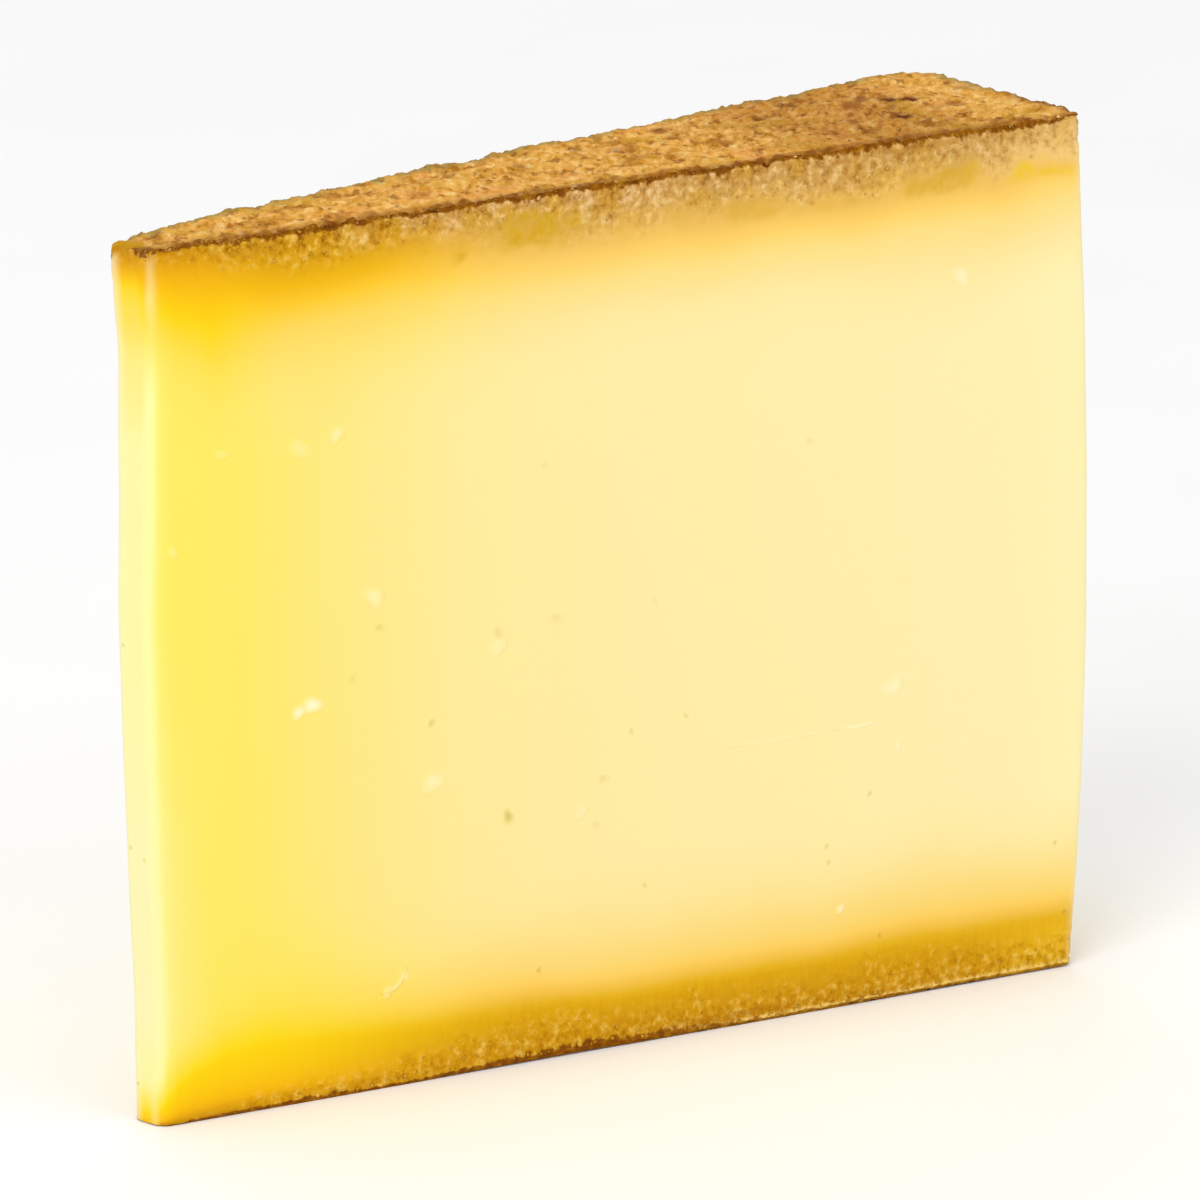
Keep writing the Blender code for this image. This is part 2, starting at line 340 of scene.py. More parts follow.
# What the paste's material reads at a place: distances in millimetres, and shares of each layer's depth
def pasteFields(points, along, across, underTop, overFoot, line):
    fromNose = along * wedge["length"]
    fromFrontEnd = np.where(across < 0.5, fromNose, wedge["length"] - fromNose)
    sway = lumps(points, *cut["sway"])
    wobble = lumps(points, *cut["wobble"])
    clear = np.zeros_like(fromNose)
    for patchAlong, patchUnder, reachAlong, reachDown, strength in cut["clearPatches"]:
        gap = np.hypot((fromFrontEnd - patchAlong) / reachAlong, (underTop - patchUnder) / reachDown)
        clear = np.maximum(clear, strength * (1.0 - ease(0.72 * gap + 0.7 * wobble)))
    clear *= rises(fromNose, *cut["clearFromNose"]) * falls(underTop, *cut["clearEnds"])
    atNose = falls(fromNose, 0, 1.5) * rises(across, 0.05, 0.2)
    topShare = underTop / layerDepth("topAmber", fromNose, sway)
    return {
        "fromNose": fromNose,
        "topShare": topShare + easedKnots(cut["noseFade"], topShare) * atNose,
        "footShare": overFoot / layerDepth("footAmber", fromNose, sway) + 0.4 * atNose,
        "topSeam": layerDepth("topSeam", fromNose, sway, wobble) - underTop - cut["clearBite"] * clear,
        "footSeam": layerDepth("footSeam", fromNose, sway, wobble) - overFoot,
        "clear": clear,
        # corner carries the painted edge highlights and the paler low nose
        "corner": edgeHighlightsAndPaleNose(fromNose, across, underTop, overFoot, atNose) * rises(underTop, 0.3, 1.2),
        # painted highlight along the foot's lip, and a darker strip over it
        "ledgeHighlight": hump(overFoot, *cut["ledgeHighlight"]) * rises(fromNose, *cut["ledgeHighlightFromNose"]),
        "shade": hump(overFoot, *cut["shade"]) * hump(fromNose, *cut["shadeFromNose"]),
        "line": line,
    }


# Rows of points round the wedge from one rind inwards, with what the material reads there
def uprightRows(along, across, distances, atTop):
    height = heightAt(along)
    rim, _ = cheesePoints(along, across, np.full_like(along, 1.0 if atTop else 0.0))
    wander, wanderSize = relief["rimWander"]
    wander = wander * lumps(rim, wanderSize, 3, 60.0)
    ragged = lumps(rim, relief["lipGrain"], 3, 80.0)
    crumbHeight, crumbSize = relief["crumb"]
    waveHeight, waveSize = relief["knifeWave"]
    fromNose = along * wedge["length"]
    lineDepth = depthAt("topLine" if atTop else "footLine", fromNose)
    worn = rises(across, 0.2, 0.2) * falls(fromNose, 0.0, 3.0)
    lineDepth = lineDepth * (1.0 - 0.95 * worn)
    seamDepth = depthAt("topSeam" if atTop else "footSeam", fromNose)
    knots = np.array(relief["topLip" if atTop else "footLip"])
    lipShare = 1.0 - 0.9 * worn if atTop else easedKnots(relief["footLipShare"], fromNose)
    rows, fields = [], []
    for distance in distances:
        away = distance * (1.0 + wander * falls(distance, 0.8, 2.0))
        up = 1.0 - away / height if atTop else away / height
        points, _ = cheesePoints(along, across, up)
        out = np.interp(distance, knots[:, 0], knots[:, 1]) * lipShare * (1.0 + 0.8 * ragged)
        if distance < 1.3 * seamDepth.max():
            rough = lumps(points, crumbSize, 3)
            out = out + crumbHeight * rough * falls(distance / seamDepth, 0.8, 0.5)
        out = out + waveHeight * lumps(points * (0.4, 0.4, 1.0), waveSize, 1) * ease(distance / 12.0)
        underTop = away if atTop else height - away
        overFoot = height - away if atTop else away
        fields.append(pasteFields(points, along, across, underTop, overFoot, distance / lineDepth))
        rows.append(points + out[:, None] * outwardFrom(points))
    return rows, fields


# One piece of the cheese from points in millimetres, with its fields for the materials
def newPiece(name, points, faces, fields, materials, faceMaterials=None):
    mesh = bpy.data.meshes.new(name)
    mesh.from_pydata((points * mm).tolist(), [], faces)
    for field, values in fields.items():
        mesh.attributes.new(field, "FLOAT", "POINT").data.foreach_set("value", values.astype(np.float32))
    for material in materials:
        mesh.materials.append(material)
    if faceMaterials is not None:
        mesh.polygons.foreach_set("material_index", faceMaterials.astype(np.int32))
    mesh.shade_smooth()
    mesh.update()
    piece = bpy.data.objects.new(name, mesh)
    bpy.context.scene.collection.objects.link(piece)
    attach(piece, "root")
    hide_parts(wedgeNode)
    print(name, "has", sum(len(face) - 2 for face in faces), "triangles")
    return piece


# Faces of the lower rind, of the upper rind, and of the rows between their rims
def skinFaces(loop, cells, count, rowCount):
    ring = len(loop)
    rings = [loop] + [2 * count + k * ring + np.arange(ring) for k in range(rowCount)] + [count + loop]
    faces = [cells[:, ::-1], cells + count]
    for low, high in zip(rings, rings[1:]):
        faces.append(np.stack([low, np.roll(low, -1), np.roll(high, -1), high], -1))
    return np.concatenate(faces)


def makeSkin(materials):
    gridAlong, gridAcross, loop, cells = planGrid()
    distances = rowDistances()
    along, across = gridAlong[loop], gridAcross[loop]
    foot, footEdge = cheesePoints(gridAlong, gridAcross, np.zeros_like(gridAlong))
    top, topEdge = cheesePoints(gridAlong, gridAcross, np.ones_like(gridAlong))
    pitDepth, pitSize = relief["footPit"]
    footDents = pitDepth * ease((lumps(foot, pitSize, 3, 90.0) - 0.12) * 2.0)
    # no pits in the middle of the foot, nor at its rim
    footDents *= ease(np.hypot(foot[:, 0], foot[:, 1]) / 6.0 - 1.0) * ease(footEdge / 0.6)
    lift = easedKnots(relief["footLift"], gridAlong * wedge["length"])
    foot[:, 2] += footDents + lift * falls(footEdge, 0.0, relief["liftReach"])
    crags, darkness = rindCrags(top, gridAlong, gridAcross)
    top[:, 2] += crags - relief["rimDrop"] * falls(topEdge, 0.0, relief["rimReach"])
    footRows, footFields = uprightRows(along, across, distances, False)
    topRows, topFields = uprightRows(along, across, distances, True)
    for footRow, topRow, distance in zip(footRows, topRows, distances):
        share = falls(distance, 0.0, relief["rimFollow"])
        footRow[:, 2] += lift[loop] * share
        topRow[:, 2] += crags[loop] * share
    rows = footRows + topRows[::-1]
    rowFields = footFields + topFields[::-1]
    points = np.concatenate([foot, top] + rows)
    count = len(gridAlong)
    faces = skinFaces(loop, cells, count, len(rows))
    isRind = np.arange(len(faces)) < 2 * len(cells)
    fields = {
        name: np.concatenate([np.zeros(2 * count)] + [row[name] for row in rowFields])
        for name in rowFields[0]
    }
    fields["fromNose"][:2 * count] = np.tile(gridAlong * wedge["length"], 2)
    fields["line"][:2 * count] = -np.concatenate([footEdge, topEdge])
    onCuts = np.zeros(len(loop) * len(rows))
    fields["crag"] = np.concatenate([-footDents, crags, onCuts])
    fields["across"] = np.concatenate([gridAcross, gridAcross, onCuts])
    fields["pit"] = np.concatenate([0.7 * ease(footDents / 0.3), darkness, onCuts])
    # sets the skin's plan box on the solid's
    shift = (np.array(cadLow + cadHigh)[:2] / mm - points[:, :2].min(0) - points[:, :2].max(0)) / 2
    centring = np.array([*shift, 0.0])
    points += centring
    piece = newPiece("comteWedge", points, faces.tolist(), fields, materials, isRind)
    bands = []
    for bandRows, bandFields in ((topRows, topFields), (footRows, footFields)):
        bands.append((np.array(bandRows) + centring, bandFields, along, distances))
    topFace = (top + centring).reshape(skin["cellsAlong"] + 1, skin["cellsAcross"] + 1, 3)
    return piece, bands, topFace, centring


# Shape of every grain, as shares of its size
grains = {
    "uneven": 0.22,
    "stretch": (0.65, 1.25),
    "flatten": 0.45,  # along the outward direction
}


# Corners and faces of a grain: a 20-sided lump, or an 8-sided one for the finest
def grainShape(rough):
    golden = (1 + 5 ** 0.5) / 2
    corners = []
    for a in (-1.0, 1.0):
        if rough:
            corners += [(a, 0.0, 0.0), (0.0, a, 0.0), (0.0, 0.0, a)]
            continue
        for b in (-golden, golden):
            corners += [(0.0, a, b), (a, b, 0.0), (b, 0.0, a)]
    corners = np.array(corners)
    count = len(corners)
    side = (2.0 ** 0.5 if rough else 2.0) + 0.01  # corners no further apart than this share a face
    faces = []
    for i in range(count):
        for j in range(i + 1, count):
            for k in range(j + 1, count):
                sides = [np.linalg.norm(corners[p] - corners[q]) for p, q in ((i, j), (j, k), (k, i))]
                if max(sides) < side:
                    turn = np.dot(np.cross(corners[j] - corners[i], corners[k] - corners[i]), corners[i])
                    faces.append((i, j, k) if turn > 0 else (i, k, j))
    return corners / np.linalg.norm(corners[0]), np.array(faces)


# Random turns in space, as matrices
def randomTurns(random, count):
    q = random.normal(size=(count, 4))
    w, x, y, z = (q / np.linalg.norm(q, axis=1, keepdims=True)).T
    return np.stack([
        np.stack([1 - 2 * (y * y + z * z), 2 * (x * y - z * w), 2 * (x * z + y * w)], -1),
        np.stack([2 * (x * y + z * w), 1 - 2 * (x * x + z * z), 2 * (y * z - x * w)], -1),
        np.stack([2 * (x * z - y * w), 2 * (y * z + x * w), 1 - 2 * (x * x + y * y)], -1),
    ], 1)


# Small rough grains of the given sizes, sunk into the surface they lie on
def makeGrains(name, random, centres, outward, sizes, sunk, fields, material, rough=False):
    corners, faces = grainShape(rough)
    count, each = len(centres), len(corners)
    shapes = corners * (1.0 + grains["uneven"] * random.uniform(-1, 1, (count, each, 1)))
    shapes = shapes * random.uniform(*grains["stretch"], (count, 1, 3))
    shapes = np.einsum("nij,nkj->nki", randomTurns(random, count), shapes)
    rise = np.einsum("nkj,nj->nk", shapes, outward)
    shapes -= grains["flatten"] * rise[:, :, None] * outward[:, None, :]
    centres = centres - outward * (sizes * sunk)[:, None]
    points = (centres[:, None] + shapes * sizes[:, None, None] / 2).reshape(-1, 3)
    allFaces = (faces[None] + each * np.arange(count)[:, None, None]).reshape(-1, 3)
    spread = {field: np.repeat(values, each) for field, values in fields.items()}
    newPiece(name, points, allFaces.tolist(), spread, [material])


# Crumbs of the two seams and the fine meal between them, thickest by the rind. Sizes are in millimetres
seamCrumbs = {
    "name": "seamCrumbs",
    "seed": 11,
    "count": 2600,
    "size": (0.3, 0.64),
    "sunk": 0.36,  # share of the size that lies in the paste
    "rough": False,
    "shares": (0.6, 0.32),  # of the count, in the top seam and in the foot's seam
}
seamMeal = {**seamCrumbs, "name": "seamMeal", "seed": 23, "count": 10500, "size": (0.17, 0.38),
            "sunk": 0.26, "rough": True}


# Sizes between the two given, most of them small
def grainSizes(random, smallest, largest, count):
    return smallest + (largest - smallest) * random.uniform(size=count) ** 2.0


def makeCrumbs(kind, bands, material):
    random = np.random.default_rng(kind["seed"])
    centres, outward, gathered = [], [], []
    seams = ("topSeam", "footSeam")
    for (rows, fields, _, distances), seam, share in zip(bands, seams, kind["shares"]):
        near, far = rows[:-1], rows[1:]
        across = np.roll(near, -1, 1) - near
        down = far - near
        normal = np.cross(across, down)
        area = np.linalg.norm(normal, axis=2)
        normal /= np.maximum(area, 1e-9)[:, :, None]
        # the middle of the wedge is behind every cut
        flip = np.sign(np.einsum("rik,rik->ri", normal, near - np.array([5.0, 0.0, 52.0])))
        normal *= flip[:, :, None]
        density = np.array([ease(0.16 + field[seam] / 3.0) ** 1.3 for field in fields[:-1]])
        density += 0.015 * (distances[:-1] < 7.0)[:, None]
        density *= (distances[:-1] > 0.25)[:, None]
        weight = (area * density).ravel()
        picks = random.choice(len(weight), int(kind["count"] * share), p=weight / weight.sum())
        row, column = np.unravel_index(picks, area.shape)
        a, b = random.uniform(size=(2, len(picks), 1))
        centres.append(near[row, column] + a * across[row, column] + b * down[row, column])
        outward.append(normal[row, column])
        gathered.append({
            name: np.array([fields[r][name][c] for r, c in zip(row, column)])
            for name in fields[0]
        })
    centres, outward = np.concatenate(centres), np.concatenate(outward)
    fields = {name: np.concatenate([part[name] for part in gathered]) for name in gathered[0]}
    fields["tint"] = random.uniform(0.15, 1.0, len(centres))
    sizes = grainSizes(random, *kind["size"], len(centres))
    makeGrains(kind["name"], random, centres, outward, sizes, kind["sunk"], fields, material, kind["rough"])


# Grit on the rind's face, beads along its rim, and the crumbly knob at the nose's front corner
rindGrit = {
    "seed": 5,
    "onFace": 1500,
    "onRim": 650,
    "rimStart": 0.012,  # share of the length where the beads of the rim begin
    "size": (0.22, 0.6),
    "sunk": 0.28,
    # from the nose, share across, above the foot, size, and the rind's height that gives its colour:
    # low is dark. The last three stand at the other end of the front rim
    "knob": [(0, 0.21, 102.9, 1, -0.6), (0, 0.22, 102.4, 0.8, -0.5), (0, 0.165, 102.8, 1.2, 0),
             (0, 0.165, 102.1, 1.1, 0.1), (0, 0.28, 102.9, 1, -0.1), (0, 0.11, 102.8, 1.2, -0.65),
             (0, 0.09, 102.2, 1.2, -0.65), (0, 0.36, 102.9, 0.8, 0), (0, 0.03, 102.9, 1.1, 0.1),
             (0.5, 0, 102.9, 1, -0.6), (1.3, 0, 102.8, 0.9, -0.5), (118.6, 0, 106, 0.7, 0.1),
             (119.8, 0, 106.1, 0.8, 0.1), (120.8, 0, 106, 0.6, 0.1)],
}


def makeRindGrit(bands, topFace, centring, material):
    random = np.random.default_rng(rindGrit["seed"])
    up = np.array([0.0, 0.0, 1.0])
    ahead = topFace[1:, :-1] - topFace[:-1, :-1]
    beside = topFace[:-1, 1:] - topFace[:-1, :-1]
    area = np.linalg.norm(np.cross(ahead, beside), axis=2)
    picks = random.choice(area.size, rindGrit["onFace"], p=(area / area.sum()).ravel())
    i, j = np.unravel_index(picks, area.shape)
    centres = [(topFace[i, j] + topFace[i + 1, j + 1]) / 2]
    outward = [np.tile(up, (len(picks), 1))]
    rows, _, along, _ = bands[0]
    column = random.choice(np.flatnonzero(along > rindGrit["rimStart"]), rindGrit["onRim"])
    row = random.integers(0, 3, rindGrit["onRim"])
    away = rows[4, column] * (0.1, 1.0, 0.0)
    away /= np.linalg.norm(away, axis=1, keepdims=True)
    centres.append(rows[row, column])
    outward.append(away * 0.8 + up * 0.6)
    count = len(picks) + len(column)
    sizes = grainSizes(random, *rindGrit["size"], count)
    knobAlong, knobAcross, knobUp, knobSize, knobCrag = np.array(rindGrit["knob"]).T
    knobAlong = knobAlong / wedge["length"]
    place, _ = cheesePoints(knobAlong, knobAcross, knobUp / heightAt(knobAlong))
    centres.append(place + centring)
    outward.append(np.where(knobAlong[:, None] > 0.0, [0.1, -1.0, 0.0], [-0.95, -0.3, 0.0]))
    sizes = np.concatenate([sizes, knobSize])
    centres, outward = np.concatenate(centres), np.concatenate(outward)
    total = len(centres)
    fromNose = (centres[:, 0] - centring[0]) + wedge["length"] / 2
    # the knob has the plain rind's colours, not those of the worn nose
    fromNose[count:] = 20.0
    crag = np.zeros(total)
    crag[count:] = knobCrag
    # the grains of the rim share its dark line
    line = np.full(total, -3.0)
    line[len(picks):count] = random.uniform(-0.9, 0.2, len(column))
    fields = {"fromNose": fromNose, "line": line, "crag": crag, "across": np.zeros(total)}
    makeGrains("rindGrit", random, centres, outward, sizes, rindGrit["sunk"], fields, material)


# Small marks on the cuts. Spots: millimetres from the nose and above the foot, then radius and strength
marks = {
    "seed": 3,
    "rings": (0, 0.22, 0.45, 0.68, 0.86, 1),
    "around": 14,
    "crystalRise": 0.05,
    "speckRise": 0.015,
    "lift": 0.008,  # every mark stands this far off the skin
    "crystals": [(105.7, 88.4, 1.5, 0.55), (23.5, 79.4, 1.2, 0.45), (18.9, 78.3, 1.6, 0.25),
                 (9, 78.9, 1, 0.2), (3, 68.3, 0.9, 0.25), (28.3, 59.7, 1.6, 0.45),
                 (18.6, 47.3, 1.2, 0.8), (20.3, 47.9, 1.5, 1), (96.2, 39.2, 1.6, 0.5),
                 (97, 31.6, 0.7, 0.5), (35.4, 36.4, 1.7, 0.5), (54.7, 29.9, 1, 0.3),
                 (89.6, 12.4, 0.8, 0.7), (44, 51.5, 1.3, 0.3), (29.2, 11.8, 0.9, 0.5),
                 (31.4, 13.4, 0.8, 0.5)],
    "specks": [(19.4, 47.5, 0.35, 0.6), (35.3, 43.6, 0.7, 0.7), (45.1, 30.8, 1.15, 1),
               (93.2, 26.3, 0.5, 0.7), (87.5, 20.6, 0.5, 0.6), (87.8, 18.5, 0.45, 0.7),
               (61.2, 38.9, 0.6, 0.5), (68.4, 39.7, 0.5, 0.5), (63, 19.6, 0.5, 0.6),
               (49, 11.3, 0.5, 0.8), (57.5, 33.6, 0.9, 0.4), (56.5, 28.1, 0.7, 0.3), (44, 53.3, 1, 0.4),
               (51.5, 54, 1.1, 0.3), (64.3, 54.4, 0.7, 0.2), (28.9, 56, 0.8, 0.45),
               (25.4, 50.4, 0.8, 0.25), (121, 7.1, 0.55, 1), (119, 16.1, 0.45, 0.8),
               (95.1, 8.2, 0.45, 0.8), (50, 72.5, 0.6, 0.3), (84.8, 71, 0.7, 0.3)],
    # shares across and up the nose's cut, radius, strength
    "noseSpecks": [(0.76, 0.551, 0.45, 0.7), (0.776, 0.319, 0.45, 0.7), (0.329, 0.309, 0.4, 0.6),
                   (0.814, 0.044, 0.4, 0.9)],
    # painted pale: on the flake a painted highlight where its curled rim catches the light, on the scores
    # paler lines
    # a curled flake and two fine scores: points along it, half width, strength, height
    "runs": [([(28.2, 11.7), (29.2, 11.8), (30.1, 12.1), (30.8, 12.7), (31.3, 13.5), (31.7, 14.6)],
              0.42, 0.4, 0.1),
             ([(88.9, 34.9), (90.5, 34.9), (92.5, 35), (94.3, 35.1)], 0.35, 0.6, 0.03),
             ([(74, 34.9), (80, 34.9), (89, 34.9)], 0.25, 0.2, 0.02)],
    "runSteps": 24,
    "elsewhere": 26,  # crystals and specks spread over the back and the broad end
}


# Lifts a place onto the skin, with the skin's outward direction there
def onSkin(piece, place):
    _, hit, outward, _ = piece.closest_point_on_mesh(Vector(place) * mm)
    return hit / mm, outward


# Rings of a low round spot with an uneven outline, and its point under the skin
def spotRings(piece, random, middle, radius, height):
    hit, outward = onSkin(piece, middle)
    side = outward.cross(Vector((0.0, 0.0, 1.0))).normalized()
    upward = side.cross(outward)
    around = marks["around"]
    lean, squeeze = random.uniform(0, 2 * math.pi, 2).tolist()
    rings = []
    for ring in marks["rings"]:
        loop = []
        for step in range(around):
            turn = 2 * math.pi * step / around
            uneven = 1.0 + 0.2 * math.sin(2 * turn + lean) + 0.1 * math.sin(3 * turn + squeeze)
            reach = ring * radius * uneven
            near, facing = onSkin(piece, hit + reach * (math.cos(turn) * side + math.sin(turn) * upward))
            loop.append((near + facing * (height * (1.0 - ring * ring) + marks["lift"]), 1.0 - ring))
        rings.append(loop)
    rings[-1] = [(place - outward * 0.06, share) for place, share in rings[-1]]
    return rings + [[(hit - outward * 0.15, 0.0)] * around]


# A narrow band along a run of points, thickest in its middle and tapered at both ends
def runRings(piece, centring, run, halfWidth, height):
    steps = marks["runSteps"]
    knots = np.linspace(0, 1, len(run))
    rings = []
    for share in np.linspace(0, 1, steps):
        fromNose, above = [float(np.interp(share, knots, column)) for column in np.array(run).T]
        along = np.array([fromNose / wedge["length"]])
        middle = cheesePoints(along, np.zeros(1), above / heightAt(along))[0][0] + centring
        hit, outward = onSkin(piece, middle)
        rings.append((hit, outward, halfWidth * math.sin(math.pi * share) ** 0.6 + 0.02))
    loops = []
    for step, (hit, outward, width) in enumerate(rings):
        ahead = rings[min(step + 1, steps - 1)][0] - rings[max(step - 1, 0)][0]
        side = outward.cross(ahead.normalized())
        loop = []
        for offset in (-1.0, -0.6, -0.25, 0.25, 0.6, 1.0):
            near, facing = onSkin(piece, hit + side * width * offset)
            lift = height * (1.0 - offset * offset) + marks["lift"] - (0.05 if abs(offset) == 1.0 else 0.0)
            strength = (1.0 - abs(offset)) * math.sin(math.pi * step / (steps - 1)) ** 0.5
            loop.append((near + facing * lift, strength))
        loop += [(hit + side * width * offset - outward * 0.12, 0.0) for offset in (0.6, -0.6)]
        loops.append(loop)
    return loops


# Shares along, across and up of each spot, then radius, strength, height and paleness
def spotList(random):
    crystal, speck = (marks["crystalRise"], 1.0), (marks["speckRise"], 0.0)
    spots = []
    for kind, name in ((crystal, "crystals"), (speck, "specks")):
        for fromNose, above, radius, strength in marks[name]:
            along = fromNose / wedge["length"]
            spots.append((along, 0.0, above / heightAt(along), radius, strength, *kind))
    for across, up, radius, strength in marks["noseSpecks"]:
        spots.append((0.0, across, up, radius, strength, *speck))
    for _ in range(marks["elsewhere"]):
        atBack, pale = random.uniform() < 0.75, random.uniform() < 0.4
        share, up = random.uniform(0.04, 0.96), random.uniform(0.12, 0.88)
        place = (share, 1.0) if atBack else (1.0, share)
        radius, strength = random.uniform(0.5, 1.0), random.uniform(0.3, 0.9)
        spots.append((*place, up, radius, strength, *(crystal if pale else speck)))
    return np.array(spots)


# Adds a lump through loops of places and strengths, closed in a point or with flat ends
def addLoops(lump, loops, amount, paleness, flatEnds):
    points, shares, faces = lump
    count, start = len(loops[0]), len(points)
    for loop in loops:
        for place, share in loop:
            points.append(tuple(place))
            share = amount * float(ease(share))
            shares.append((share * paleness, share * (1.0 - paleness)))
    for row in range(len(loops) - 1):
        low = start + row * count
        for step in range(count):
            after = (step + 1) % count
            faces.append((low + step, low + count + step, low + count + after, low + after))
    if flatEnds:
        last = start + (len(loops) - 1) * count
        faces.append(tuple(range(start, start + count)))
        faces.append(tuple(range(last + count - 1, last - 1, -1)))


def makeMarks(piece, centring, material):
    random = np.random.default_rng(marks["seed"])
    points, shares, faces = [], [], []
    lump = (points, shares, faces)
    along, across, up, *others = spotList(random).T
    middles, _ = cheesePoints(along, across, up)
    for middle, *numbers in zip(middles + centring, *others):
        radius, strength, height, pale = [float(number) for number in numbers]
        addLoops(lump, spotRings(piece, random, middle.tolist(), radius, height), strength, pale, False)
    for run, halfWidth, strength, height in marks["runs"]:
        # the flake and scores take the pale colour: a painted highlight on the flake's rim
        addLoops(lump, runRings(piece, centring, run, halfWidth, height), strength, 1.0, True)
    points = np.array(points)
    plain = points - centring
    along = np.clip((plain[:, 0] + wedge["length"] / 2) / wedge["length"], 0.0, 1.0)
    across = (plain[:, 1] > 0).astype(float)
    offLine = np.full(len(points), 9.0)
    fields = dict(zip(("pale", "dark"), np.array(shares).T))
    fields.update(pasteFields(plain, along, across, heightAt(along) - plain[:, 2], plain[:, 2], offLine))
    newPiece("cheeseMarks", points, faces, fields, [material])


studio = {
    "level": 1.12,  # how bright a white surface shows under the light
    "sheen": 0.009,  # light that the cheese's own soft gloss adds to its colour
    "sky": 0.8,
    "floor": 0.93,
}


# Colour as it shows on screen, 0 to 255, turned into what the surface needs under the studio's light
def tone(red, green, blue):
    shares = [channel / 255.0 for channel in (red, green, blue)]
    linear = [s / 12.92 if s < 0.04045 else ((s + 0.055) / 1.055) ** 2.4 for s in shares]
    return tuple(max(s - studio["sheen"], 0.0) / studio["level"] for s in linear) + (1.0,)


# Short hands for wiring one material's node tree
class Nodes:
    def __init__(self, name):
        self.material = bpy.data.materials.new(name)
        self.material.use_nodes = True
        self.tree = self.material.node_tree
        self.shader = self.tree.nodes["Principled BSDF"]
        self.place = self.add("ShaderNodeTexCoord").outputs["Object"]

    def add(self, kind, **settings):
        node = self.tree.nodes.new(kind)
        for key, value in settings.items():
            setattr(node, key, value)
        return node

    # A socket takes a wire or a plain value; three numbers are a colour as it shows on screen
    def plug(self, socket, value):
        if isinstance(value, bpy.types.NodeSocket):
            self.tree.links.new(value, socket)
        elif socket.type == "RGBA" and len(value) == 3:
            socket.default_value = tone(*value)
        else:
            socket.default_value = value

    def maths(self, operation, *values):
        node = self.add("ShaderNodeMath", operation=operation)
        for socket, value in zip(node.inputs, values):
            self.plug(socket, value)
        return node.outputs[0]

    def times(self, first, second):
        return self.maths("MULTIPLY", first, second)

    def plus(self, first, second):
        return self.maths("ADD", first, second)

    # A noise turned into a swing round zero
    def swing(self, value, reach):
        return self.times(self.maths("SUBTRACT", value, 0.5), reach)

    def field(self, name):
        return self.add("ShaderNodeAttribute", attribute_name=name).outputs["Fac"]

    def stretch(self, scale, turn=0.0):
        place = self.place
        if turn:
            turned = self.add("ShaderNodeVectorRotate", rotation_type="Z_AXIS")
            self.plug(turned.inputs["Vector"], place)
            turned.inputs["Angle"].default_value = math.radians(turn)
            place = turned.outputs[0]
        node = self.add("ShaderNodeVectorMath", operation="MULTIPLY")
        self.plug(node.inputs[0], place)
        node.inputs[1].default_value = scale
        return node.outputs[0]

    # Noise from a size in millimetres, its detail and its roughness
    def noise(self, grain, vector=None):
        size, detail, roughness = grain
        node = self.add("ShaderNodeTexNoise")
        self.plug(node.inputs["Vector"], vector or self.place)
        node.inputs["Scale"].default_value = 1.0 / (size * mm)
        node.inputs["Detail"].default_value = detail
        node.inputs["Roughness"].default_value = roughness
        return node.outputs["Fac"]

    # Smooth change from start to end, while the value goes from low to high
    def band(self, value, low, high, start=0.0, end=1.0):
        node = self.add("ShaderNodeMapRange", interpolation_type="SMOOTHSTEP")
        for key, given in (("Value", value), ("From Min", low), ("From Max", high),
                           ("To Min", start), ("To Max", end)):
            self.plug(node.inputs[key], given)
        return node.outputs["Result"]

    # Colours at each value: the value, then red, green and blue
    def ramp(self, value, stops):
        node = self.add("ShaderNodeValToRGB")
        elements = node.color_ramp.elements
        while len(elements) < len(stops):
            elements.new(0.5)
        last = stops[-1][0]
        for element, (place, *colour) in zip(elements, stops):
            element.position = place / last
            element.color = tone(*colour)
        self.plug(node.inputs["Fac"], self.maths("DIVIDE", value, last))
        return node.outputs["Color"]

    def mix(self, factor, first, second, blend="MIX"):
        node = self.add("ShaderNodeMix", data_type="RGBA", blend_type=blend)
        for socket, value in ((node.inputs[0], factor), (node.inputs[6], first), (node.inputs[7], second)):
            self.plug(socket, value)
        return node.outputs[2]

    def bump(self, height, distance, strength):
        node = self.add("ShaderNodeBump")
        node.inputs["Strength"].default_value = strength
        node.inputs["Distance"].default_value = distance * mm
        self.plug(node.inputs["Height"], height)
        return node.outputs["Normal"]

    # The finished surface; a number that is the same all over goes straight on the shader's socket
    def surface(self, colour, roughness, gloss, normal=None):
        given = {
            "Base Color": colour,
            "Roughness": roughness,
            "Specular IOR Level": gloss,
            "Normal": normal,
        }
        for name, value in given.items():
            if value is not None:
                self.plug(self.shader.inputs[name], value)
        print(self.material.name, "wired")
        return self.material


